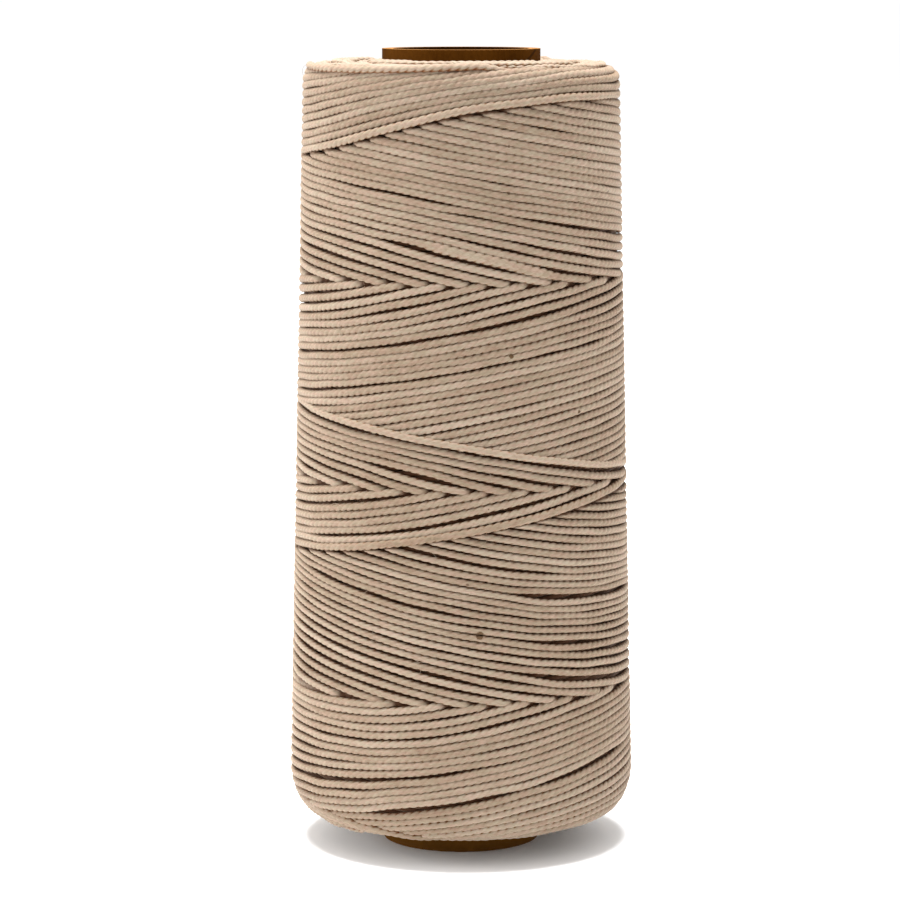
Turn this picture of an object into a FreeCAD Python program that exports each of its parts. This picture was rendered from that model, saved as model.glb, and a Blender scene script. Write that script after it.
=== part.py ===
import FreeCAD, Part
import math
import os

# Waxed thread spool: a spiral-wound paper tube carrying one long package of cross-wound waxed thread.
# Millimetres. The origin is the centre of the tube's bottom end, and +Z runs up the tube.

# Paper tube
tube_length = 111.6
bore_radius = 9.5
ply_thickness = 0.3
body_ply_count = 3

# Thread package
package_bottom_z = 3.6
package_top_z = 110.0
package_bottom_radius = 24.3
package_top_radius = 22.05
bottom_shoulder_width = 5.0
bottom_shoulder_height = 7.0
top_shoulder_width = 2.6
top_shoulder_height = 3.0
layer_count = 6

# Thread end, lying on the package and tucked under its outer strands
thread_diameter = 1.1
end_low_z = 86.0
end_rise = 5.2
end_start_angle = 128.0
end_sweep_angle = 96.0
end_path_points = 13

# The cutting ring of the last layer reaches past the package by this much
cut_margin = 2.0

tube_radius = bore_radius + ply_thickness * (body_ply_count + 2)
axis_base = FreeCAD.Vector(0, 0, 0)
axis_direction = FreeCAD.Vector(0, 0, 1)


def export(shape, name):
    shape.exportStep("parts/" + name + ".step")


def at(radius, z):
    """A point of a half profile, which is drawn in the XZ plane."""
    return FreeCAD.Vector(radius, 0, z)


def revolved(edges):
    """The solid that a closed half profile sweeps in one turn about the tube's axis."""
    face = Part.Face(Part.Wire(edges))
    return face.revolve(axis_base, axis_direction, 360)


def polygon_edges(points):
    return Part.makePolygon(points + points[:1]).Edges


def sleeve(inner_radius, outer_radius, length):
    """A plain paper sleeve standing on the tube's bottom plane."""
    corners = [
        at(inner_radius, 0),
        at(outer_radius, 0),
        at(outer_radius, length),
        at(inner_radius, length),
    ]
    return revolved(polygon_edges(corners))


def shoulder_arc(radius, end_z, width, height, upward):
    """The elliptical quarter round from the flat end of the package to its side."""
    centre = at(radius - width, end_z + upward * height)
    flat_end = at(radius - width, end_z)
    side_end = at(radius, end_z + upward * height)
    ellipse = Part.Ellipse(flat_end, side_end, centre)
    return Part.ArcOfEllipse(ellipse, 0, math.pi / 2).toShape(), flat_end, side_end


def package_solid():
    """The whole package of thread: flat ends, rounded shoulders and a side that tapers towards the top."""
    low_arc, low_flat, low_side = shoulder_arc(
        package_bottom_radius, package_bottom_z, bottom_shoulder_width, bottom_shoulder_height, 1)
    high_arc, high_flat, high_side = shoulder_arc(
        package_top_radius, package_top_z, top_shoulder_width, top_shoulder_height, -1)
    low_core = at(tube_radius, package_bottom_z)
    high_core = at(tube_radius, package_top_z)
    edges = [
        Part.makeLine(low_core, low_flat),
        low_arc,
        Part.makeLine(low_side, high_side),
        high_arc,
        Part.makeLine(high_flat, high_core),
        Part.makeLine(high_core, low_core),
    ]
    return revolved(Part.__sortEdges__(edges))


def package_radius(z):
    """The radius of the package's tapering side at a height, and of the same line continued."""
    low_z = package_bottom_z + bottom_shoulder_height
    high_z = package_top_z - top_shoulder_height
    share = (z - low_z) / (high_z - low_z)
    return package_bottom_radius + share * (package_top_radius - package_bottom_radius)


def layer_radius(number, z):
    """The radius of the boundary outside a layer of thread, counted from the tube."""
    return tube_radius + (package_radius(z) - tube_radius) * number / layer_count


def winding_layer(package, number):
    """One up-and-down traverse of the thread: a sleeve between two tapering boundaries."""
    beyond = cut_margin if number == layer_count else 0
    corners = [
        at(layer_radius(number - 1, package_bottom_z), package_bottom_z),
        at(layer_radius(number, package_bottom_z) + beyond, package_bottom_z),
        at(layer_radius(number, package_top_z) + beyond, package_top_z),
        at(layer_radius(number - 1, package_top_z), package_top_z),
    ]
    return package.common(revolved(polygon_edges(corners)))


def end_path_point(share):
    """A point of the thread end's centre line, which rises round the back of the package."""
    angle = math.radians(end_start_angle + share * end_sweep_angle)
    z = end_low_z + share * end_rise
    radius = package_radius(z)
    return FreeCAD.Vector(radius * math.sin(angle), -radius * math.cos(angle), z)


def thread_end():
    points = [end_path_point(i / (end_path_points - 1)) for i in range(end_path_points)]
    curve = Part.BSplineCurve()
    curve.interpolate(points)
    path = Part.Wire(curve.toShape())
    start_direction = curve.tangent(curve.FirstParameter)[0]
    section = Part.Wire(Part.makeCircle(thread_diameter / 2, points[0], start_direction))
    return path.makePipeShell([section], True, False)


os.makedirs("parts", exist_ok=True)

# The tube's plies, from the bore outwards
liner_radius = bore_radius + ply_thickness
export(sleeve(bore_radius, liner_radius, tube_length), "tube_inner_liner")
for ply in range(body_ply_count):
    inner = liner_radius + ply * ply_thickness
    export(sleeve(inner, inner + ply_thickness, tube_length), "tube_body_ply_%d" % (ply + 1))
export(sleeve(tube_radius - ply_thickness, tube_radius, tube_length), "tube_outer_wrap")

# The thread, layer by layer, with the groove that its loose end lies in
package = package_solid()
loose_end = thread_end()
for number in range(1, layer_count + 1):
    layer = winding_layer(package, number)
    if number == layer_count:
        layer = layer.cut(loose_end)
    export(layer, "winding_layer_%d" % number)
export(loose_end, "thread_end")
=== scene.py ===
import math

import bpy
import numpy as np
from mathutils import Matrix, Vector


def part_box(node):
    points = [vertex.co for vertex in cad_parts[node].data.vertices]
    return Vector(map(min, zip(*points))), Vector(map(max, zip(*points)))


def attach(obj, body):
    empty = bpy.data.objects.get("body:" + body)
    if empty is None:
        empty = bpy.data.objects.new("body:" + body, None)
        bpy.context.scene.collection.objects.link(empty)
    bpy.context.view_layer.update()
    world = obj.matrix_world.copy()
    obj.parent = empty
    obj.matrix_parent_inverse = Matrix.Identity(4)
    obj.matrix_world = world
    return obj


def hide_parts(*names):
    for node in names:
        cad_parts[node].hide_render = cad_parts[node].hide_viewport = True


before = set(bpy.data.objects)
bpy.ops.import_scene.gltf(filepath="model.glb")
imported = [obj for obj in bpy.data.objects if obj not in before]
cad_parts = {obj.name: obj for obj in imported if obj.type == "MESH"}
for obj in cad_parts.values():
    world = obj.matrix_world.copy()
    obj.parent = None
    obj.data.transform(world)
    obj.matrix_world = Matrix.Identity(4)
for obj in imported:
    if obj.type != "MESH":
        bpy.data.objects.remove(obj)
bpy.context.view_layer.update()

# A waxed thread spool. Lengths are in metres, with +Z up the tube. An angle round the package is 0 at its
# front, -Y, and grows towards +X. It is in radians, but for the tables of drifts and gaps, which hold
# degrees. A "run" says how far up the package's outline a point is: it is the height on the tapering side,
# and goes on round the shoulders as a length.

MM = 0.001
TAU = 2 * math.pi

# ---------------------------------------------------------------- sizes of the frame
PACKAGE_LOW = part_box("winding_layer_1")[0].z
PACKAGE_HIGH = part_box("winding_layer_1")[1].z
WIDE_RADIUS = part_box("winding_layer_6")[1].x
NARROW_RADIUS = 22.05 * MM
TUBE_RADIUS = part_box("tube_outer_wrap")[1].x
LOW_CORNER_WIDTH, LOW_CORNER_HEIGHT = 5.0 * MM, 7.0 * MM
HIGH_CORNER_WIDTH, HIGH_CORNER_HEIGHT = 2.6 * MM, 3.0 * MM
SIDE_LOW = PACKAGE_LOW + LOW_CORNER_HEIGHT
SIDE_HIGH = PACKAGE_HIGH - HIGH_CORNER_HEIGHT
LAYERS = 6

# ---------------------------------------------------------------- the thread and how it is wound
THREAD_WIDTH = 1.14 * MM
THREAD_HEIGHT = 1.02 * MM
TWIST_LENGTH = 3.45 * MM
PLIES = 3

# The strands side by side in the outermost layer, how far each climbs in a turn, how much faster than that
# it climbs at the front and back, and how deep one lies where it is under another
STRANDS = 17
RISE = 19.0 * MM
SPACING = RISE / STRANDS
HALF_SPACING = SPACING / 2
RISE_RATE = RISE / TAU
FRONT_STEEPNESS = 0.5
UNDER_DEPTH = 0.76 * MM

# Strands turn back a little past both ends of the side, a whole number of half spacings apart
TURN_PAST_TOP = 3.5 * MM
TURN_PAST_BOTTOM = 7.6 * MM
HIGH_TURN = SIDE_HIGH + TURN_PAST_TOP
LOW_TURN = HIGH_TURN - round((HIGH_TURN - SIDE_LOW + TURN_PAST_BOTTOM) / HALF_SPACING) * HALF_SPACING
TURN_ROUNDING = 0.5 * MM

# The zigzag edges between stretches have their corners on the left, and half a turn further round
CORNER = math.radians(-84)

rng = np.random.default_rng(41)


def smooth_step(value):
    value = np.clip(value, 0, 1)
    return value * value * (3 - 2 * value)


def lift(angle):
    """The angle a strand's rise goes by. Strands climb fastest at the front and back."""
    return angle + FRONT_STEEPNESS / 2 * np.sin(2 * angle)


def side_radius(height):
    share = (height - SIDE_LOW) / (SIDE_HIGH - SIDE_LOW)
    return WIDE_RADIUS + share * (NARROW_RADIUS - WIDE_RADIUS)


CORNER_POINTS = 60


def package_outline():
    """Radius, height and run of points from the tube out along the lower end, up the side and in again."""
    turned = np.linspace(0, math.pi / 2, CORNER_POINTS)
    low_radius = WIDE_RADIUS - LOW_CORNER_WIDTH * (1 - np.cos(turned[::-1]))
    low_height = SIDE_LOW - LOW_CORNER_HEIGHT * np.sin(turned[::-1])
    high_radius = NARROW_RADIUS - HIGH_CORNER_WIDTH * (1 - np.cos(turned))
    high_height = SIDE_HIGH + HIGH_CORNER_HEIGHT * np.sin(turned)
    radius = np.concatenate([[TUBE_RADIUS], low_radius, high_radius, [TUBE_RADIUS]])
    height = np.concatenate([[PACKAGE_LOW], low_height, high_height, [PACKAGE_HIGH]])
    run = np.concatenate([[0], np.cumsum(np.hypot(np.diff(radius), np.diff(height)))])
    return radius, height, run - run[CORNER_POINTS] + SIDE_LOW


OUTLINE_RADIUS, OUTLINE_HEIGHT, OUTLINE_RUN = package_outline()
LOWEST_SIDE_POINT = len(OUTLINE_RUN) // 2
NORMAL_REACH = 0.2 * MM


def outline(run):
    """Radius, height and outward direction of the package's outline at each run."""
    radius = np.interp(run, OUTLINE_RUN, OUTLINE_RADIUS)
    height = np.interp(run, OUTLINE_RUN, OUTLINE_HEIGHT)
    before, after = run - NORMAL_REACH, run + NORMAL_REACH
    out = np.interp(after, OUTLINE_RUN, OUTLINE_HEIGHT) - np.interp(before, OUTLINE_RUN, OUTLINE_HEIGHT)
    up = np.interp(before, OUTLINE_RUN, OUTLINE_RADIUS) - np.interp(after, OUTLINE_RUN, OUTLINE_RADIUS)
    size = np.hypot(out, up)
    return radius, height, out / size, up / size


def end_run(radius, at_top):
    """The run at which the upper or the lower end of the package has a radius."""
    if at_top:
        return np.interp(-radius, -OUTLINE_RADIUS[LOWEST_SIDE_POINT:], OUTLINE_RUN[LOWEST_SIDE_POINT:])
    return np.interp(radius, OUTLINE_RADIUS[:LOWEST_SIDE_POINT], OUTLINE_RUN[:LOWEST_SIDE_POINT])


# ---------------------------------------------------------------- which strands lie on top
# Rising strands climb with the angle and falling ones drop. Strands of the two families cross at heights
# half a spacing apart, and each edge below is moved to lie between two crossings.
RISING, FALLING = 1, -1
FIRST_STRAND = HIGH_TURN - RISE_RATE * lift(CORNER + math.pi)
FIRST_PLACE = {RISING: FIRST_STRAND, FALLING: 2 * HIGH_TURN - FIRST_STRAND}


def snapped(value, origin, step):
    return origin + round((value - origin) / step) * step


def level_edge(height):
    return snapped(height, HIGH_TURN + SPACING / 4, HALF_SPACING)


def rising_edge(height):
    """The corner height of a zigzag edge that rises across the front between two rising strands."""
    base = RISE_RATE * lift(CORNER)
    return snapped(height - base, FIRST_PLACE[RISING] + HALF_SPACING, SPACING) + base


def falling_edge(height):
    """The corner height of a zigzag edge that falls across the front between two falling strands."""
    base = RISE_RATE * lift(CORNER)
    return snapped(height + base, FIRST_PLACE[FALLING] + HALF_SPACING, SPACING) - base


# Above a level edge falling strands lie on top, and below it rising ones. At a zigzag edge it is the other
# way about.
LEVEL_EDGES = [level_edge(80.5 * MM), level_edge(52.8 * MM), level_edge(23.6 * MM)]
RISING_EDGES = [rising_edge(96.9 * MM), rising_edge(42.0 * MM)]
FALLING_EDGES = [falling_edge(63.2 * MM), falling_edge(7.9 * MM)]

# How far past a zigzag edge the strands that cross it are tucked in, the climb over which they go under,
# and the same for a level edge, where rising strands stop a little short of it
RISING_TUCK = 0.60 * SPACING
FALLING_TUCK = 0.02 * SPACING
DIVE_LENGTH = 0.60 * SPACING
LEVEL_DIVE_LENGTH = 0.36 * SPACING
LEVEL_GAP = 0.10 * SPACING

# The strand that lies along a zigzag edge is raised, and a painted shadow darkens the crease along its lower
# side
EDGE_LIFT = 0.34 * MM
RAISED_REACH = 0.7 * SPACING
RAISED_FADE = 2 * MM
CREASE_REACH = 6 * SPACING
CREASE_WIDTH = 0.34 * MM
CREASE_FADE = 0.20 * MM
CREASE_SHADOW = 0.9
NO_CREASE = -10 * MM

# Where a family of strands drifts from an even helix: the angle in degrees and height of the drift's middle,
# how far it reaches round in degrees, down and up, and how far up it moves the strands there
DRIFTS = [
    (RISING, 0, 101 * MM, 75, 10 * MM, 10 * MM, 1.6 * MM),
    (RISING, 95, 106 * MM, 60, 8 * MM, 8 * MM, -1.6 * MM),
    (FALLING, 95, 91 * MM, 75, 12 * MM, 15 * MM, -0.55 * MM),
    (FALLING, -95, 36 * MM, 92, 13 * MM, 12 * MM, 1.5 * MM),
    (FALLING, 95, 33 * MM, 80, 13 * MM, 14 * MM, 1.2 * MM),
    (RISING, -95, 18 * MM, 95, 12 * MM, 10 * MM, 2.8 * MM),
    (RISING, 80, 15 * MM, 70, 9 * MM, 9 * MM, 1.0 * MM),
]

# How the strands spread where they meet at a level edge, falling ones above it and rising ones below: how
# far from the edge they are moved the most, how far beyond that it ends, and how far up it moves them
SPREADS = [
    (FALLING, LEVEL_EDGES[0], 6.0 * MM, 15.0 * MM, 0.9 * MM),
    (RISING, LEVEL_EDGES[0], -5.0 * MM, -12.0 * MM, -0.7 * MM),
    (FALLING, LEVEL_EDGES[1], 3.5 * MM, 5.0 * MM, 0.4 * MM),
    (RISING, LEVEL_EDGES[1], -4.0 * MM, -6.0 * MM, -0.3 * MM),
    (FALLING, LEVEL_EDGES[2], 6.0 * MM, 13.0 * MM, 0.6 * MM),
    (RISING, LEVEL_EDGES[2], -4.0 * MM, -9.0 * MM, -0.3 * MM),
]


def hump(distance, reach):
    """1 at no distance, falling smoothly to 0 at the reach."""
    return np.cos(math.pi / 2 * np.clip(np.abs(distance) / reach, 0, 1)) ** 2


def lopsided_hump(distance, reach_down, reach_up):
    return np.where(distance < 0, hump(distance, reach_down), hump(distance, reach_up))


def drift(family, angle, run):
    """How far up a family's strands are moved from their even helix at each point."""
    total = np.zeros(np.broadcast(angle, run).shape)
    for moved_family, centre, height, spread, reach_down, reach_up, size in DRIFTS:
        if moved_family == family:
            away = np.mod(angle - math.radians(centre) + math.pi, TAU) - math.pi
            share = hump(away, math.radians(spread))
            total += size * share * lopsided_hump(run - height, reach_down, reach_up)
    for moved_family, edge, near_reach, far_reach, size in SPREADS:
        if moved_family == family:
            reaches = (near_reach, far_reach) if near_reach > 0 else (-far_reach, -near_reach)
            total += size * lopsided_hump(run - edge - near_reach, *reaches)
    return total


def zigzag(angle):
    """How far along its rise a zigzag edge is, up over half a turn from the corner and down again, and
    whether it is in the half turn across the front."""
    turned = np.mod(angle - CORNER, TAU)
    climbed = lift(CORNER + turned) - lift(CORNER)
    return RISE_RATE * np.where(climbed <= math.pi, climbed, TAU - climbed), turned <= math.pi


def winding_order(family, angle, run):
    """For a family's strands: 1 where they lie on top and 0 where under, how far an edge strand is raised,
    and how high above a raised strand's lower side a falling one is where it goes into the crease there."""
    rising_drift = drift(RISING, angle, run)
    falling_drift = drift(FALLING, angle, run)
    climbed, across_front = zigzag(angle)
    on_top, raised, creased = 0, 0, NO_CREASE
    tuck = RISING_TUCK if family == RISING else FALLING_TUCK
    early = LEVEL_GAP if family == RISING else 0
    for height in LEVEL_EDGES:
        on_top = on_top - smooth_step((run - height + early) / LEVEL_DIVE_LENGTH + 0.5)
    for direction, heights in ((RISING, RISING_EDGES), (FALLING, FALLING_EDGES)):
        beside_rising = across_front == (direction == RISING)
        edge_drift = np.where(beside_rising, rising_drift, falling_drift)
        alongside = beside_rising == (family == RISING)
        for height in heights:
            above = run - (height + direction * climbed + edge_drift)
            on_top = on_top + smooth_step((above + np.where(alongside, 0, tuck)) / DIVE_LENGTH + 0.5)
            if family == FALLING:
                at_edge = beside_rising & (above < HALF_SPACING) & (above > -CREASE_REACH)
                creased = np.where(at_edge, above, creased)
            raised = raised + alongside * np.exp(-(((above - family * HALF_SPACING) / RAISED_REACH) ** 2))
    raised = raised * smooth_step(np.minimum(climbed, RISE / 2 - climbed) / RAISED_FADE)
    on_top = np.clip(on_top, 0, 1)
    on_top = on_top if family == RISING else 1 - on_top
    return on_top, EDGE_LIFT * raised * on_top, creased


# ---------------------------------------------------------------- uneven winding
# Gaps where strands have slid apart: the family, the height at the front before any drift, the first
# and last angle in degrees, and the width
GAPS = [
    (RISING, 74.8 * MM, -89, 36, 0.38 * MM),
    (RISING, 69.3 * MM, -89, 66, 0.28 * MM),
    (FALLING, 90.6 * MM, -62, 6, 0.24 * MM),
    (FALLING, 90.4 * MM, 16, 89, 0.42 * MM),
    (FALLING, 83.2 * MM, -34, 26, 0.34 * MM),
    (FALLING, 84.6 * MM, 24, 60, 0.18 * MM),
    (FALLING, 57.4 * MM, -89, 89, 0.30 * MM),
    (FALLING, 53.4 * MM, -40, 2, 0.36 * MM),
    (FALLING, 54.5 * MM, 0, 24, 0.28 * MM),
    (FALLING, 55.9 * MM, 4, 44, 0.24 * MM),
    (RISING, 53.5 * MM, -89, 6, 0.16 * MM),
    (RISING, 49.6 * MM, -68, 46, 0.32 * MM),
    (FALLING, 39.8 * MM, 14, 89, 0.56 * MM),
    (FALLING, 33.1 * MM, 22, 56, 0.34 * MM),
    (FALLING, 42.8 * MM, -30, 40, 0.34 * MM),
    (FALLING, 35.8 * MM, -70, 12, 0.30 * MM),
    (FALLING, 27.0 * MM, -90, 10, 0.16 * MM),
    (FALLING, 28.4 * MM, 20, 89, 0.34 * MM),
    (RISING, 20.5 * MM, -68, 40, 0.20 * MM),
    (RISING, 15.0 * MM, -68, 10, 0.40 * MM),
    (RISING, 10.5 * MM, -36, 22, 0.66 * MM),
    (RISING, 10.5 * MM, 20, 72, 0.46 * MM),
    (RISING, 84.0 * MM, 130, 230, 0.45 * MM),
    (FALLING, 48.0 * MM, 150, 260, 0.40 * MM),
    (RISING, 16.5 * MM, 160, 250, 0.40 * MM),
]
GAP_PUSH = 1.35
GAP_SOFTNESS = 0.3 * SPACING
GAP_REACH = 1.7 * SPACING
GAP_FADE = math.radians(14)


def front_place(family, angle, run):
    """The run at which the strand through a point crosses the front, and the angle brought near the front."""
    near = np.mod(angle + math.pi / 2, TAU) - math.pi / 2
    return run - family * RISE_RATE * lift(near), near


def pushed_apart(family, angle, run):
    """How far the gaps push a strand up or down."""
    place, near = front_place(family, angle, run)
    push = 0
    for gap_family, gap_place, first, last, width in GAPS:
        if gap_family != family:
            continue
        gap_strand = round((gap_place - FIRST_PLACE[family]) / SPACING - 0.5) + 0.5
        beyond = place - FIRST_PLACE[family] - gap_strand * SPACING
        ramped = smooth_step((near - math.radians(first)) / GAP_FADE)
        ramped = ramped * smooth_step((math.radians(last) - near) / GAP_FADE)
        nearby = np.tanh(beyond / GAP_SOFTNESS) * np.exp(-np.abs(beyond) / GAP_REACH)
        push = push + width / 2 * GAP_PUSH * ramped * nearby
    return push


def wander(length, size, waves):
    """A smooth random line along a strand: a sum of sines of about the given wavelengths."""
    total = np.zeros_like(length)
    for wave in waves:
        wave = wave * rng.uniform(0.7, 1.4)
        total += size * rng.uniform(0.4, 1.0) * np.sin(TAU * (length / wave + rng.uniform()))
    return total


# ---------------------------------------------------------------- meshes of swept strands
ROUND_SIDES = 12
PLAIN_SIDES = 6
PLAIN_CREST = 0.7
FINE_STEP = TWIST_LENGTH / ROUND_SIDES

# How far the middle of a ply is from the strand's, as a share of the strand's radius
PLY_OFFSET = 0.29


def ply_outline(sides):
    """Relative radius round a section of three plies pressed together, with a ply's crest first."""
    angle = TAU * np.arange(sides) / sides
    from_crest = np.mod(angle + math.pi / PLIES, TAU / PLIES) - math.pi / PLIES
    ply = 1 - PLY_OFFSET
    return PLY_OFFSET * np.cos(from_crest) + np.sqrt(ply**2 - (PLY_OFFSET * np.sin(from_crest)) ** 2)


class Sweep:
    """Collects strands into one mesh of quads, with what the thread's material reads at each point."""

    def __init__(self):
        self.points, self.quads, self.fibres, self.looks = [], [], [], []
        self.count = 0

    def add(self, path, outward, length, look, width, height, sides=ROUND_SIDES, plied=True):
        """Sweeps a section along a path. The look holds the strand's tone and how shadowed it is along the
        path, and for one that may lie by a crease, how far the path is above the crease."""
        tangent = np.gradient(path, axis=0)
        tangent /= np.linalg.norm(tangent, axis=1, keepdims=True)
        up = outward - (outward * tangent).sum(1, keepdims=True) * tangent
        up /= np.linalg.norm(up, axis=1, keepdims=True)
        across = np.cross(tangent, up)
        ring = TAU * np.arange(sides) / sides
        outline_radius = ply_outline(sides) if plied else np.ones(sides)
        twist = -TAU * length / TWIST_LENGTH if plied else np.zeros_like(length)
        angle = twist[:, None] + ring[None, :]
        sine, cosine = np.sin(angle), np.cos(angle)
        width = np.broadcast_to(width, length.shape)[:, None] / 2 * outline_radius
        height = np.broadcast_to(height, length.shape)[:, None] / 2 * outline_radius
        points = path[:, None, :] + (width * sine)[..., None] * across[:, None, :]
        points = points + (height * cosine)[..., None] * up[:, None, :]
        self.points.append(points.reshape(-1, 3))
        fibre = np.stack([np.broadcast_to(length[:, None], angle.shape) / MM, cosine, sine], axis=-1)
        self.fibres.append(fibre.reshape(-1, 3))
        self.looks.append(self.painted(look, width * sine, outline_radius, plied))
        self.quads.append(tube_quads(len(path), sides) + self.count)
        self.count += len(path) * sides

    @staticmethod
    def painted(look, sideways, outline_radius, plied):
        """The tone, the share of a ply's crest and the shadow at each point of a swept strand."""
        if plied:
            crest = (outline_radius - outline_radius.min()) / np.ptp(outline_radius)
        else:
            crest = PLAIN_CREST
        tone = look[0][:, None] + np.zeros_like(sideways)
        shadow = look[1][:, None] + np.zeros_like(sideways)
        if len(look) > 2:
            # Painted shadow in the crease along the lower side of a raised edge strand
            above = look[2][:, None] - sideways
            in_crease = smooth_step((above + CREASE_WIDTH) / CREASE_FADE + 0.5)
            shadow = np.maximum(shadow, CREASE_SHADOW * in_crease)
        return np.stack([tone, np.broadcast_to(crest, tone.shape), shadow], -1).reshape(-1, 3)

    def build(self, name, material):
        """Makes the mesh of everything added, and its object."""
        mesh = bpy.data.meshes.new(name)
        points = np.concatenate(self.points).astype(np.float32)
        quads = np.concatenate(self.quads).astype(np.int32)
        mesh.vertices.add(len(points))
        mesh.vertices.foreach_set("co", points.ravel())
        mesh.loops.add(quads.size)
        mesh.loops.foreach_set("vertex_index", quads.ravel())
        mesh.polygons.add(len(quads))
        mesh.polygons.foreach_set("loop_start", np.arange(0, quads.size, 4, dtype=np.int32))
        mesh.polygons.foreach_set("use_smooth", np.ones(len(quads), dtype=bool))
        for attribute_name, values in (("fibre", self.fibres), ("look", self.looks)):
            layer = mesh.attributes.new(attribute_name, "FLOAT_VECTOR", "POINT")
            layer.data.foreach_set("vector", np.concatenate(values).astype(np.float32).ravel())
        mesh.update(calc_edges=True)
        mesh.materials.append(material)
        return new_object(name, mesh)


def new_object(name, contents):
    piece = bpy.data.objects.new(name, contents)
    bpy.context.scene.collection.objects.link(piece)
    return piece


def tube_quads(rings, sides):
    """The quads of a closed tube: its wall, and a fan of quads across each end."""
    ring = np.arange(rings - 1)[:, None] * sides
    here = np.arange(sides)[None, :]
    after = (here + 1) % sides
    wall = np.stack([ring + here, ring + sides + here, ring + sides + after, ring + after], axis=-1)
    first = np.arange(sides // 2 - 1) * 2
    cap = np.stack([np.zeros_like(first), first + 1, first + 2, first + 3], axis=-1)
    end = (rings - 1) * sides + cap[:, ::-1]
    return np.concatenate([wall.reshape(-1, 4), cap, end])


def on_package(angle, run, depth):
    """Points at a depth inside the package's outline, and the outward directions there."""
    radius, height, out, up = outline(run)
    sine, cosine = np.sin(angle), np.cos(angle)
    outward = np.stack([out * sine, -out * cosine, up], axis=-1)
    surface = np.stack([radius * sine, -radius * cosine, height], axis=-1)
    return surface - depth[:, None] * outward, outward


def path_length(path):
    steps = np.linalg.norm(np.diff(path, axis=0), axis=1)
    return np.concatenate([[0], np.cumsum(steps)])


def resampled(length, step, *lines):
    """Lines given at each length, read again at even steps."""
    count = int(length[-1] / step) + 1
    even = np.arange(count) * step
    return [even] + [np.interp(even, length, line) for line in lines]


def even_path(angle, run, depth):
    """A line on the package at even steps: its points, outward directions and the length along it."""
    path, _ = on_package(angle, run, depth)
    length, angle, run, depth = resampled(path_length(path), FINE_STEP, angle, run, depth)
    path, outward = on_package(angle, run, depth)
    return path, outward, length


def stretches(mask):
    """First and last index of each unbroken stretch of True."""
    edges = np.flatnonzero(np.diff(np.concatenate([[False], mask, [False]]).astype(int)))
    return list(zip(edges[::2], edges[1::2] - 1))


def widened(mask, reach):
    kernel = np.ones(2 * reach + 1)
    return np.convolve(mask.astype(float), kernel, mode="same") > 0.5


# ---------------------------------------------------------------- materials
class Surface:
    """A new material, and short ways to add the nodes that its shader reads."""

    def __init__(self, name):
        self.material = bpy.data.materials.new(name)
        self.material.use_nodes = True
        self.nodes = self.material.node_tree.nodes
        self.shader = self.nodes["Principled BSDF"]

    def link(self, output, socket):
        self.material.node_tree.links.new(output, socket)

    def place(self):
        """Where a point of the surface is on the object."""
        return self.nodes.new("ShaderNodeTexCoord").outputs["Object"]

    def attribute(self, name):
        node = self.nodes.new("ShaderNodeAttribute")
        node.attribute_name = name
        return node.outputs["Vector"]

    def split(self, vector):
        node = self.nodes.new("ShaderNodeSeparateXYZ")
        self.link(vector, node.inputs[0])
        return node.outputs

    def scaled(self, vector, scale):
        node = self.nodes.new("ShaderNodeVectorMath")
        node.operation = "MULTIPLY"
        self.link(vector, node.inputs[0])
        node.inputs[1].default_value = scale
        return node.outputs[0]

    def maths(self, operation, first, second=None, third=None, clamp=False):
        node = self.nodes.new("ShaderNodeMath")
        node.operation = operation
        node.use_clamp = clamp
        for socket, value in zip(node.inputs, (first, second, third)):
            if value is None:
                continue
            if isinstance(value, (int, float)):
                socket.default_value = value
            else:
                self.link(value, socket)
        return node.outputs[0]

    def noise(self, vector, scale, detail=3.0, roughness=0.55):
        node = self.nodes.new("ShaderNodeTexNoise")
        node.inputs["Scale"].default_value = scale
        node.inputs["Detail"].default_value = detail
        node.inputs["Roughness"].default_value = roughness
        self.link(vector, node.inputs["Vector"])
        return node.outputs["Fac"]

    def colour_ramp(self, factor, stops):
        node = self.nodes.new("ShaderNodeValToRGB")
        while len(node.color_ramp.elements) < len(stops):
            node.color_ramp.elements.new(0.5)
        for element, (position, colour) in zip(node.color_ramp.elements, stops):
            element.position = position
            element.color = (*colour, 1)
        self.link(factor, node.inputs["Fac"])
        return node.outputs["Color"]

    def mixed(self, factor, first, second, blend="MIX"):
        node = self.nodes.new("ShaderNodeMix")
        node.data_type = "RGBA"
        node.blend_type = blend
        for socket, value in zip((node.inputs[0], node.inputs[6], node.inputs[7]), (factor, first, second)):
            if isinstance(value, (int, float)):
                socket.default_value = value
            elif isinstance(value, tuple):
                socket.default_value = (*value, 1)
            else:
                self.link(value, socket)
        return node.outputs[2]

    def bump(self, height, distance, strength=1.0):
        """Raises the surface's shading where the height is greater."""
        node = self.nodes.new("ShaderNodeBump")
        node.inputs["Strength"].default_value = strength
        node.inputs["Distance"].default_value = distance
        self.link(height, node.inputs["Height"])
        self.link(node.outputs["Normal"], self.shader.inputs["Normal"])

    def finish(self, values):
        """Sets the shader's own sockets to numbers and colours that are the same all over."""
        for name, value in values.items():
            self.shader.inputs[name].default_value = value


# Brown specks in the thread: angle, height and size
BLEMISHES = [
    (math.radians(6), 33.2 * MM, 0.55 * MM),
    (math.radians(17), 71.0 * MM, 0.34 * MM),
    (math.radians(44), 62.8 * MM, 0.26 * MM),
    (math.radians(20), 62.9 * MM, 0.26 * MM),
]
BLEMISH_STRENGTH = 0.9
BLEMISH_COLOUR = (0.045, 0.022, 0.007)

# Fine dark dots strewn over the thread: cells a metre, the share of a cell a dot reaches, and its strength
DOT_CELLS = 150.0
DOT_REACH = 0.033
DOT_STRENGTH = 0.7
DOT_COLOUR = (0.035, 0.012, 0.004)

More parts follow.
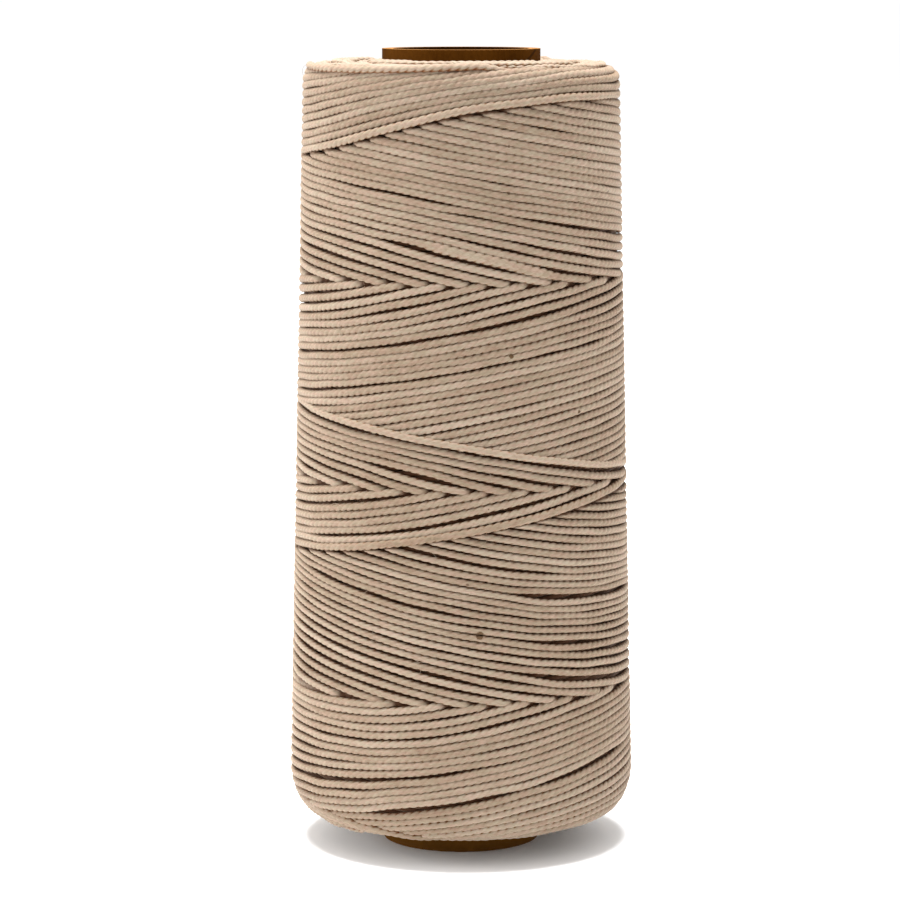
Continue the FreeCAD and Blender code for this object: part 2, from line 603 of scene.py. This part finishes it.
WAX_TONES = [
    (0.20, (0.088, 0.052, 0.031)),
    (0.42, (0.163, 0.120, 0.087)),
    (0.60, (0.217, 0.171, 0.133)),
    (0.85, (0.290, 0.247, 0.207)),
]
HUES = [(0.40, (0.98, 1.02, 0.96)), (0.62, (1.05, 0.97, 0.95))]
# Painted shade: each strand is darkened down its sides, where it meets its neighbours, and in the grooves
# between its plies
SIDE_SHADE_TONES = [(0.26, (0.36, 0.125, 0.032)), (0.64, (0.62, 0.45, 0.32)), (0.96, (1.0, 1.0, 1.0))]
GROOVE_SHADE_TONES = [(0.0, (0.96, 0.93, 0.90)), (0.6, (1.0, 1.0, 1.0))]
SHADOW_COLOUR = (0.030, 0.0085, 0.0014)


def thread_material():
    """Beige waxed thread: fibres along the strand, painted shade down its sides and in the grooves between
    plies, dark where it is painted as shadowed, with specks and a soft wax sheen."""
    surface = Surface("waxed_thread")
    place = surface.place()
    fibre = surface.attribute("fibre")
    tone, crest, shadow = surface.split(surface.attribute("look"))

    streaks = surface.noise(surface.scaled(fibre, (0.9, 3.2, 3.2)), 1.9, 4.0, 0.65)
    blotches = surface.noise(surface.scaled(fibre, (0.7, 0.9, 0.9)), 0.8, 2.0)
    patches = surface.noise(place, 60.0, 2.0)
    level = surface.maths("MULTIPLY_ADD", streaks, 0.62, tone)
    level = surface.maths("MULTIPLY_ADD", blotches, 0.30, level)
    level = surface.maths("MULTIPLY_ADD", patches, 0.25, level)
    level = surface.maths("MULTIPLY_ADD", level, 0.815, 0.0, clamp=True)
    body = surface.colour_ramp(level, WAX_TONES)
    hue = surface.noise(surface.scaled(fibre, (0.6, 1.3, 1.3)), 1.1, 2.0)
    body = surface.mixed(1.0, body, surface.colour_ramp(hue, HUES), "MULTIPLY")

    outward = surface.split(fibre)[1]
    # Painted shade, darkest down a strand's sides and in the grooves between its plies
    unshaded = surface.maths("MULTIPLY_ADD", crest, 0.50, outward)
    unshaded = surface.maths("MULTIPLY_ADD", streaks, 0.30, unshaded)
    body = surface.mixed(1.0, body, surface.colour_ramp(unshaded, SIDE_SHADE_TONES), "MULTIPLY")
    body = surface.mixed(1.0, body, surface.colour_ramp(crest, GROOVE_SHADE_TONES), "MULTIPLY")
    body = surface.mixed(shadow, body, SHADOW_COLOUR)
    body = with_specks(surface, body, place, streaks)
    surface.link(body, surface.shader.inputs["Base Color"])

    hairs = surface.noise(surface.scaled(fibre, (1.0, 9.0, 9.0)), 1.6, 3.0, 0.6)
    surface.bump(hairs, 0.05 * MM, 0.9)
    surface.link(surface.maths("MULTIPLY_ADD", streaks, 0.25, 0.40), surface.shader.inputs["Roughness"])
    surface.finish({
        "Specular IOR Level": 0.06,
        "Sheen Weight": 0.16,
        "Sheen Roughness": 0.45,
        "Sheen Tint": (1.0, 0.72, 0.50, 1),
    })
    return surface.material


def with_specks(surface, body, place, streaks):
    """The thread's colour with the strewn dots and the larger blemishes over it."""
    cells = surface.nodes.new("ShaderNodeTexVoronoi")
    cells.inputs["Scale"].default_value = DOT_CELLS
    surface.link(place, cells.inputs["Vector"])
    dot = surface.maths("LESS_THAN", cells.outputs["Distance"], DOT_REACH)
    dot = surface.maths("MULTIPLY", dot, DOT_STRENGTH)
    body = surface.mixed(dot, body, DOT_COLOUR)
    for angle, height, size in BLEMISHES:
        spot = surface.nodes.new("ShaderNodeVectorMath")
        spot.operation = "DISTANCE"
        surface.link(place, spot.inputs[0])
        radius = side_radius(height)
        spot.inputs[1].default_value = (radius * math.sin(angle), -radius * math.cos(angle), height)
        reach = surface.maths("MULTIPLY_ADD", streaks, size, size / 2)
        stained = surface.maths("LESS_THAN", spot.outputs["Value"], reach)
        stained = surface.maths("MULTIPLY", stained, BLEMISH_STRENGTH)
        body = surface.mixed(stained, body, BLEMISH_COLOUR)
    return body


# The seam of the paper's spiral wrap: how far down the tube it goes in a turn, and its width in turns
SEAM_PITCH = 38 * MM
SEAM_SHARE = 0.012
SEAM_STRENGTH = 0.6
SEAM_COLOUR = (0.012, 0.005, 0.002)

# Painted light: the paper is painted lighter towards the foot of the tube, most at the foot, and no longer
# above this height
FOOT_LIGHT_HEIGHT = 12 * MM
FOOT_LIGHT_STRENGTH = 0.35
FOOT_LIGHT_COLOUR = (0.17, 0.075, 0.016)


def paper_material(name, face_colours, cut_colours, seam=True):
    """Kraft paper: pressed fibres on its faces, a lighter fuzzy cut edge at the tube's ends."""
    surface = Surface(name)
    place = surface.place()
    normal = surface.split(surface.nodes.new("ShaderNodeNewGeometry").outputs["Normal"])
    at_end = surface.maths("ABSOLUTE", normal[2])
    at_end = surface.maths("GREATER_THAN", at_end, 0.5)

    fibres = surface.noise(surface.scaled(place, (1.0, 1.0, 0.35)), 2600.0, 4.0, 0.7)
    clouds = surface.noise(place, 180.0, 3.0)
    level = surface.maths("MULTIPLY_ADD", clouds, 0.6, surface.maths("MULTIPLY", fibres, 0.5))
    face = surface.colour_ramp(level, [(0.35, face_colours[0]), (0.75, face_colours[1])])
    cut = surface.colour_ramp(level, [(0.35, cut_colours[0]), (0.75, cut_colours[1])])
    body = surface.mixed(at_end, face, cut)

    x, y, z = surface.split(place)
    if seam:
        turn = surface.maths("ARCTAN2", y, x)
        turn = surface.maths("DIVIDE", turn, TAU)
        wound = surface.maths("MULTIPLY_ADD", z, -1 / SEAM_PITCH, turn)
        wound = surface.maths("FRACT", wound)
        line = surface.maths("LESS_THAN", wound, SEAM_SHARE)
        line = surface.maths("MULTIPLY", line, SEAM_STRENGTH)
        body = surface.mixed(line, body, SEAM_COLOUR)
    # Painted light, lightest at the foot of the tube
    ramped = surface.maths("MULTIPLY_ADD", z, -1 / FOOT_LIGHT_HEIGHT, 1.0, clamp=True)
    ramped = surface.maths("MULTIPLY", ramped, FOOT_LIGHT_STRENGTH)
    body = surface.mixed(ramped, body, FOOT_LIGHT_COLOUR)
    surface.link(body, surface.shader.inputs["Base Color"])
    surface.bump(fibres, 0.06 * MM, 0.8)
    surface.finish({"Roughness": 0.78, "Specular IOR Level": 0.01})
    return surface.material


def deep_shade_material():
    """Thread deep in the package, seen only through gaps: painted dark as painted shade, with the lines of
    strands.
    """
    surface = Surface("deep_thread_painted_shade")
    place = surface.place()
    x, y, z = surface.split(place)
    turn = surface.maths("ARCTAN2", x, y)
    wound = surface.maths("MULTIPLY_ADD", turn, RISE_RATE, z)
    ridge = surface.maths("MULTIPLY", wound, TAU / SPACING)
    ridge = surface.maths("SINE", ridge)
    patch = surface.noise(place, 900.0, 3.0)
    level = surface.maths("MULTIPLY_ADD", ridge, 0.2, patch)
    body = surface.colour_ramp(level, [(0.3, (0.012, 0.006, 0.003)), (0.8, (0.066, 0.033, 0.014))])
    surface.link(body, surface.shader.inputs["Base Color"])
    surface.bump(ridge, 0.3 * MM)
    surface.finish({"Roughness": 0.8, "Specular IOR Level": 0.2})
    return surface.material


# ---------------------------------------------------------------- the outer strands
ANGLE_STEP = 0.009
TURN_BLEND = 3 * MM

# A strand runs on below its lowest turn, and is buried there under the ends of the layer
STRAND_OVERRUN = 2.2 * MM
BURIED_DEPTH = 1.7 * MM
BURIED_FROM = 0.9 * MM
BURIED_FADE = 2.6 * MM
PROUD = 0.03 * MM

# How far a strand wanders along the package, and in and out
SIDE_WANDER = 0.050 * MM
DEPTH_WANDER = 0.018 * MM

# The one thick, loose stretch of thread
THICK_PLACE = 83.2 * MM + HALF_SPACING
THICK_FROM, THICK_TO = math.radians(-16), math.radians(36)
THICK_FADE = math.radians(9)
THICKER_WIDTH, THICKER_HEIGHT, THICKER_TONE = 0.46, 0.16, 0.07


def strand_lines(number):
    """One strand up the package and down again: what add_strand needs at points along its length."""
    start = FIRST_STRAND + number * SPACING
    first_run = LOW_TURN - STRAND_OVERRUN
    last_run = 2 * HIGH_TURN - first_run
    base = start - RISE * math.ceil((start - first_run) / RISE)
    first = (first_run - base) / RISE_RATE
    last = (last_run - base) / RISE_RATE
    angle = np.arange(first, last, ANGLE_STEP)
    past_turn = base + RISE_RATE * lift(angle) - HIGH_TURN
    even_run = HIGH_TURN - np.sqrt(past_turn**2 + TURN_ROUNDING**2)
    falling = smooth_step(past_turn / TURN_BLEND + 0.5)

    on_top, raised, run = 0, 0, even_run
    for family, share in ((RISING, 1 - falling), (FALLING, falling)):
        moved = drift(family, angle, even_run)
        family_top, family_raised, family_creased = winding_order(family, angle, even_run + moved)
        on_top = on_top + share * family_top
        raised = raised + share * family_raised
        run = run + share * (moved + pushed_apart(family, angle, even_run))
    creased = np.where(falling > 0.9, family_creased, NO_CREASE)

    rough_length = angle * (WIDE_RADIUS + NARROW_RADIUS) / 2
    run = run + wander(rough_length, SIDE_WANDER, [11 * MM, 27 * MM, 64 * MM])
    buried = BURIED_DEPTH * smooth_step((LOW_TURN + BURIED_FROM - even_run) / BURIED_FADE)
    depth = THREAD_HEIGHT / 2 + UNDER_DEPTH * (1 - on_top) + buried - raised
    depth = depth - PROUD + wander(rough_length, DEPTH_WANDER, [9 * MM, 31 * MM])
    return angle, run, on_top, depth, falling, thickening(angle, even_run, falling), creased


# Where a strand is narrower or wider than most, and by what share of its width: the middle and reach of two
# loosely wound stretches, where strands are slack above, how far below a crease they draw in and up to what
# run, and where all are pressed wider under the rim and at the sides
LOWER_LOOSE, LOWER_LOOSE_REACH, LOWER_TIGHTNESS = 35 * MM, 14 * MM, 0.14
UPPER_LOOSE, UPPER_LOOSE_REACH, UPPER_TIGHTNESS = 58 * MM, 7 * MM, 0.08
SLACK_FROM, SLACK_FADE, SLACKNESS = 93 * MM, 4 * MM, 0.06
DRAWN_REACH, DRAWN_BELOW, DRAWN_SHARE = 4.5 * MM, 60 * MM, 0.13
PRESSED_FROM, PRESSED_FADE, PRESSED_SIDE, PRESSED_SHARE = 107.5 * MM, 2 * MM, 0.4, 0.10


def drawn_in(angle, run, falling, creased):
    """How much narrower a strand is, as a share of its width. A falling one is pulled thinner in the two
    loosely wound stretches and towards a crease, and is wider near the top. All are pressed wider at the
    package's two sides and under its upper rim."""
    loose = hump(run - LOWER_LOOSE, LOWER_LOOSE_REACH) ** 0.5
    at_front = smooth_step((np.cos(angle) - 0.15) / 0.3)
    tight = LOWER_TIGHTNESS * loose * at_front + UPPER_TIGHTNESS * hump(run - UPPER_LOOSE, UPPER_LOOSE_REACH)
    slack = SLACKNESS * smooth_step((run - SLACK_FROM) / SLACK_FADE)
    by_crease = DRAWN_SHARE * smooth_step(1 + creased / DRAWN_REACH) * (run < DRAWN_BELOW)
    under_rim = smooth_step((run - PRESSED_FROM) / PRESSED_FADE)
    pressed = PRESSED_SHARE * (under_rim + hump(np.cos(angle), PRESSED_SIDE))
    return falling * (tight - slack + by_crease) - pressed


def thickening(angle, even_run, falling):
    """1 along the thick stretch of thread, and 0 elsewhere."""
    place, near = front_place(FALLING, angle, even_run)
    along = smooth_step((near - THICK_FROM) / THICK_FADE)
    along = along * smooth_step((THICK_TO - near) / THICK_FADE)
    return along * falling * (np.abs(place - THICK_PLACE) < HALF_SPACING)


# How far each strand's fibres are shifted from the one before's, so that no two look the same
FIBRE_OFFSET = 97 * MM

# A strand is hidden where it is on top by less than this share. Its plied stretches reach a few rings of
# points into that, and the plain tube between them has one ring for every three of theirs.
HIDDEN = 0.02
SHOWING_MARGIN = 6
PLAIN_STEP = 3
LEAST_PLAIN_RINGS = 4


def add_strand(sweep, number):
    """Sweeps one strand: plied where it shows, and a plain tube where it lies deep under others."""
    angle, run, on_top, depth, falling, thick, creased = strand_lines(number)
    path, _ = on_package(angle, run, depth)
    length, angle, run, on_top, depth, falling, thick, creased = resampled(
        path_length(path), FINE_STEP, angle, run, on_top, depth, falling, thick, creased
    )
    path, outward = on_package(angle, run, depth)
    tone = 0.02 + rng.normal(0, 0.040) + wander(length, 0.022, [40 * MM, 120 * MM]) + THICKER_TONE * thick
    shadow = 0.97 * smooth_step((0.78 - on_top) / 0.5)
    swollen = wander(length, 0.012, [6 * MM, 23 * MM]) + THICKER_WIDTH * thick
    width = THREAD_WIDTH * (1 + swollen - drawn_in(angle, run, falling, creased))
    height = THREAD_HEIGHT * (1 + THICKER_HEIGHT * thick)
    marked = length + number * FIBRE_OFFSET
    showing = widened(on_top > HIDDEN, SHOWING_MARGIN)
    for first, last in stretches(showing):
        part = slice(first, last + 1)
        look = (tone[part], shadow[part], creased[part])
        sweep.add(path[part], outward[part], marked[part], look, width[part], height[part])
    for first, last in stretches(~showing):
        rows = np.arange(max(first - PLAIN_STEP, 0), min(last + PLAIN_STEP + 1, len(path)), PLAIN_STEP)
        if len(rows) >= LEAST_PLAIN_RINGS:
            look = (tone[rows], shadow[rows])
            sweep.add(
                path[rows], outward[rows], marked[rows], look, width[rows], height[rows], PLAIN_SIDES, False
            )


# ---------------------------------------------------------------- the layers' ends
# Angles by which the end turns run past two full turns, and over which they come up from the layer below
END_MARGIN = 0.3
END_FADE = 0.5
END_FIBRE_OFFSET = 53 * MM

# How far the end turns wander, how deep they lie at their highest, how much deeper they start and stop, and
# the angle from one layer's first turn to the next layer's
END_WANDER = 0.07 * MM
END_DEPTH = 0.22 * MM
END_DIVE = 0.7 * MM
END_STAGGER = 2.3

# How far the crossing strands stand up from the end turns, and how deep they dive
CROSSING_PROUD = 0.22 * MM
CROSSING_DIVE = 1.25 * MM


def layer_radius(number, at_top):
    """Where a layer ends on an end face, inside the turns of the outermost strands."""
    outermost = outline(HIGH_TURN if at_top else LOW_TURN)[0] - THREAD_WIDTH / 2
    return TUBE_RADIUS + (outermost - TUBE_RADIUS) * number / (LAYERS - 1)


def add_on_end(sweep, turned, radius, at_top, sunk, mark):
    """A strand lying on an end of the package, along a line of angles and radii."""
    path, outward, length = even_path(turned, end_run(radius, at_top), sunk)
    # The turns on the package's ends are painted paler than the side strands: painted light on the lit ends
    tone = 0.16 + rng.normal(0, 0.04) + wander(length, 0.03, [25 * MM])
    look = (tone, np.zeros_like(length))
    sweep.add(path, outward, length + mark * END_FIBRE_OFFSET, look, THREAD_WIDTH, THREAD_HEIGHT)


def end_turns(sweep, number, at_top):
    """Two turns of thread that show at one end of a layer, where its strands turned back."""
    inner = layer_radius(number - 1, at_top)
    thickness = layer_radius(number, at_top) - inner
    turned = np.arange(-END_MARGIN, 2 * TAU + END_MARGIN, 0.012)
    radius = inner + thickness * (0.20 + turned / (2 * TAU))
    arc = turned * inner
    radius = radius + wander(arc, END_WANDER, [9 * MM, 22 * MM, 50 * MM])
    from_start, to_end = turned + END_MARGIN, 2 * TAU + END_MARGIN - turned
    up = smooth_step(from_start / END_FADE) * smooth_step(to_end / END_FADE)
    sunk = THREAD_HEIGHT / 2 + END_DEPTH + wander(arc, END_WANDER, [8 * MM, 19 * MM]) + END_DIVE * (1 - up)
    add_on_end(sweep, turned + number * END_STAGGER, radius, at_top, sunk, number * 31 + at_top * 7)


def crossing_strands(sweep, number, at_top):
    """Short stretches that cross over the end turns where the winding slipped."""
    for count in range(2):
        start = rng.uniform(0, TAU)
        turned = np.arange(0, rng.uniform(0.9, 1.6), 0.01)
        share = turned / turned[-1]
        middle = layer_radius(number - rng.uniform(0.2, 0.8), at_top)
        slip = rng.choice([-1, 1]) * rng.uniform(0.7, 1.3) * MM
        radius = middle + slip * (smooth_step(share) - 0.5)
        up = smooth_step(np.sin(math.pi * share) * 2.2)
        sunk = THREAD_HEIGHT / 2 - CROSSING_PROUD + CROSSING_DIVE * (1 - up)
        add_on_end(sweep, start + turned, radius, at_top, sunk, number * 17 + count + 3)


# The strand over the rim: the angles it starts at and goes on for, how far past the side its ends are, how
# far it sags between them, and how far it stands up in the middle and dives at its ends
RIM_FROM, RIM_SWEEP = math.radians(-100), math.radians(125)
RIM_PAST_SIDE = 3.3 * MM
RIM_SAG = 1.1 * MM
RIM_PROUD = 0.62 * MM
RIM_DIVE = 0.9 * MM


def rim_strand(sweep):
    """One strand that has slipped over the upper rim and lies across the ones that turn back there."""
    share = np.linspace(0, 1, 300)
    run = SIDE_HIGH + RIM_PAST_SIDE - RIM_SAG * np.sin(math.pi * share**0.8)
    up = smooth_step(np.minimum(share, 1 - share) * 6)
    sunk = THREAD_HEIGHT / 2 - RIM_PROUD * up + RIM_DIVE * (1 - up)
    path, outward, length = even_path(RIM_FROM + RIM_SWEEP * share, run, sunk)
    look = (np.full_like(length, 0.06), np.zeros_like(length))
    sweep.add(path, outward, length, look, THREAD_WIDTH, THREAD_HEIGHT)


# ---------------------------------------------------------------- the body under the strands
CORE_SIDE_INSET = 1.75 * MM
CORE_END_INSET = 0.75 * MM
CORE_CLEARANCE = 0.01 * MM


def lathe(name, profile, material, sides=128):
    """A closed solid of revolution from a closed half profile of radii and heights."""
    angle = TAU * np.arange(sides) / sides
    radius, height = np.array(profile).T[:, :, None]
    points = np.stack([radius * np.sin(angle), -radius * np.cos(angle), height + 0 * angle], axis=-1)
    rows = len(profile)
    row = np.arange(rows)[:, None]
    here = np.arange(sides)[None, :]
    after_row, after = (row + 1) % rows, (here + 1) % sides
    corners = [row * sides + here, row * sides + after, after_row * sides + after, after_row * sides + here]
    mesh = bpy.data.meshes.new(name)
    mesh.from_pydata(points.reshape(-1, 3).tolist(), [], np.stack(corners, axis=-1).reshape(-1, 4).tolist())
    mesh.polygons.foreach_set("use_smooth", np.ones(len(mesh.polygons), dtype=bool))
    mesh.update()
    mesh.materials.append(material)
    return new_object(name, mesh)


def core_profile():
    """The package's outline drawn in from its side and its ends, closed along the tube."""
    radius, height, out, up = outline(np.linspace(LOW_TURN, HIGH_TURN, 40))
    radius = radius - CORE_SIDE_INSET * out
    height = height - CORE_END_INSET * up
    low, high = PACKAGE_LOW + CORE_END_INSET, PACKAGE_HIGH - CORE_END_INSET
    inside = TUBE_RADIUS + CORE_CLEARANCE
    return [(inside, high), (inside, low)] + list(zip(radius, np.clip(height, low, high)))


# ---------------------------------------------------------------- the loose end, and stray fibres
TAIL_LOW, TAIL_RISE = 86.0 * MM, 5.2 * MM
TAIL_FROM, TAIL_SWEEP = math.radians(128), math.radians(96)

# How far out the loose end's middle lies, as a share of its height, how deep its start is buried, and the
# sizes of its waves along the package and away from it
TAIL_STANDING = 0.42
TAIL_DIVE = 1.3 * MM
TAIL_WAVE = 0.35 * MM
TAIL_LIFT = 0.10 * MM


def loose_end(sweep):
    """The thread's loose end: it comes out from under the strands and lies on them in a slight wave."""
    share = np.linspace(0, 1, 400)
    run = TAIL_LOW + share * TAIL_RISE + TAIL_WAVE * np.sin(share * 7)
    lying = THREAD_HEIGHT * TAIL_STANDING
    depth = -lying + (lying + TAIL_DIVE) * (1 - smooth_step(share / 0.12))
    depth = depth - TAIL_LIFT * np.sin(share * 11) ** 2
    path, outward, length = even_path(TAIL_FROM + share * TAIL_SWEEP, run, depth)
    look = (np.full_like(length, 0.10), np.zeros_like(length))
    sweep.add(path, outward, length, look, THREAD_WIDTH, THREAD_HEIGHT)


HAIRS = 170
HAIR_WIDTH = 0.035 * MM
HAIR_POINTS = 10
HAIR_SIDES = 4
HAIR_TONE = 0.25


def stray_fibre(sweep):
    """One fibre that has worked loose and curls along the surface."""
    angle = rng.uniform(0, TAU)
    run = rng.uniform(SIDE_LOW, SIDE_HIGH + 2 * MM)
    step = rng.uniform(1.2, 4.0) * MM / HAIR_POINTS
    heading = rng.uniform(0, TAU)
    curl = rng.uniform(-2.2, 2.2)
    share = np.linspace(0, 1, HAIR_POINTS)
    direction = heading + curl * share
    angles = angle + np.cumsum(np.cos(direction)) * step / side_radius(run)
    runs = run + np.cumsum(np.sin(direction)) * step
    height = rng.uniform(0.15, 0.55) * MM * np.sin(share * math.pi * rng.uniform(0.6, 1.0))
    path, outward = on_package(angles, runs, 0.12 * MM - height)
    look = (np.full(HAIR_POINTS, HAIR_TONE), np.zeros(HAIR_POINTS))
    sweep.add(path, outward, path_length(path), look, HAIR_WIDTH, HAIR_WIDTH, HAIR_SIDES, False)


# ---------------------------------------------------------------- build the spool
thread = thread_material()
deep = deep_shade_material()
# The liner's faces are painted near black: painted shade inside the tube
liner = paper_material(
    "kraft_liner_painted_shade",
    face_colours=[(0.014, 0.004, 0.001), (0.030, 0.010, 0.002)],
    cut_colours=[(0.16, 0.075, 0.022), (0.28, 0.14, 0.05)],
)
body_ply = paper_material(
    "kraft_body",
    face_colours=[(0.06, 0.022, 0.004), (0.11, 0.042, 0.009)],
    cut_colours=[(0.12, 0.052, 0.014), (0.22, 0.105, 0.034)],
    seam=False,
)
outer_wrap = paper_material(
    "kraft_wrap",
    face_colours=[(0.038, 0.012, 0.0009), (0.074, 0.026, 0.0026)],
    cut_colours=[(0.14, 0.062, 0.017), (0.25, 0.12, 0.04)],
)

for node, paper in (
    ("tube_inner_liner", liner),
    ("tube_body_ply_1", body_ply),
    ("tube_body_ply_2", body_ply),
    ("tube_body_ply_3", body_ply),
    ("tube_outer_wrap", outer_wrap),
):
    tube_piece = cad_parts[node]
    tube_piece.data.materials.clear()
    tube_piece.data.materials.append(paper)

STRANDS_PER_PIECE = 2
for first in range(0, STRANDS, STRANDS_PER_PIECE):
    winding = Sweep()
    for number in range(first, min(first + STRANDS_PER_PIECE, STRANDS)):
        add_strand(winding, number)
    if first == 0:
        rim_strand(winding)
    piece = winding.build("outer_strands_%02d" % (first // STRANDS_PER_PIECE + 1), thread)
    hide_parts("winding_layer_6")
    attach(piece, "root")

for number in range(1, LAYERS):
    ends = Sweep()
    for at_top in (True, False):
        end_turns(ends, number, at_top)
        crossing_strands(ends, number, at_top)
    piece = ends.build("layer_%d_end_turns" % number, thread)
    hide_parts("winding_layer_%d" % number)
    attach(piece, "root")

core = lathe("packed_layers", core_profile(), deep)
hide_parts(*["winding_layer_%d" % number for number in range(1, LAYERS)])
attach(core, "root")

tail = Sweep()
loose_end(tail)
tail_piece = tail.build("loose_end", thread)
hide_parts("thread_end")
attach(tail_piece, "root")

fuzz = Sweep()
for _ in range(HAIRS):
    stray_fibre(fuzz)
fuzz_piece = fuzz.build("stray_fibres", thread)
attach(fuzz_piece, "root")

# ---------------------------------------------------------------- floor, light and camera
FLOOR_REACH = 30.0
FLOOR_COLOUR = (0.90, 0.90, 0.90, 1)
SURROUND_STRENGTH = 1.13
LAMP_SIZE = 0.50
LAMP_TARGET = (0, 0, 0.06)

# The lens in millimetres, and how many degrees the camera looks down
CAMERA_LENS = 139.8
CAMERA_PLACE = (-0.00156, -0.4882, 0.12205)
CAMERA_DIP = 7.785


def floor():
    """A plain pale floor that reaches past everything the camera sees."""
    low, high = -FLOOR_REACH, FLOOR_REACH
    mesh = bpy.data.meshes.new("floor")
    mesh.from_pydata([(low, low, 0), (high, low, 0), (high, high, 0), (low, high, 0)], [], [(0, 1, 2, 3)])
    surface = Surface("floor")
    surface.finish({"Base Color": FLOOR_COLOUR, "Roughness": 0.9, "Specular IOR Level": 0.0})
    mesh.materials.append(surface.material)
    piece = new_object("floor", mesh)


def soft_light(name, place, power):
    """A round soft light at a place, aimed at the middle of the spool."""
    light = bpy.data.lights.new(name, "AREA")
    light.shape = "DISK"
    light.size = LAMP_SIZE
    light.energy = power
    lamp = new_object(name, light)
    lamp.location = place
    aim = np.array(LAMP_TARGET) - np.array(place)
    lamp.rotation_euler = (math.atan2(math.hypot(aim[0], aim[1]), -aim[2]), 0, math.atan2(-aim[0], aim[1]))


def studio():
    """A plain white surround, a soft light overhead, one on the left and a weak one on the right."""
    world = bpy.data.worlds.new("studio")
    world.use_nodes = True
    background = world.node_tree.nodes["Background"]
    background.inputs["Color"].default_value = (1, 1, 1, 1)
    background.inputs["Strength"].default_value = SURROUND_STRENGTH
    bpy.context.scene.world = world
    soft_light("overhead", (-0.06, -0.02, 0.95), 32.0)
    soft_light("left", (-0.90, 0.02, 0.22), 6.6)
    soft_light("right", (0.90, -0.10, 0.30), 0.4)


def camera():
    """A long lens in front of the spool, a little above it and looking slightly down."""
    lens = bpy.data.cameras.new("camera")
    lens.lens = CAMERA_LENS
    lens.sensor_width = 36
    lens.clip_start = 0.01
    lens.clip_end = 100
    piece = new_object("camera", lens)
    piece.location = CAMERA_PLACE
    piece.rotation_euler = (math.radians(90 - CAMERA_DIP), 0, 0)
    bpy.context.scene.camera = piece


floor()
studio()
camera()
bpy.context.scene.view_settings.view_transform = "Standard"
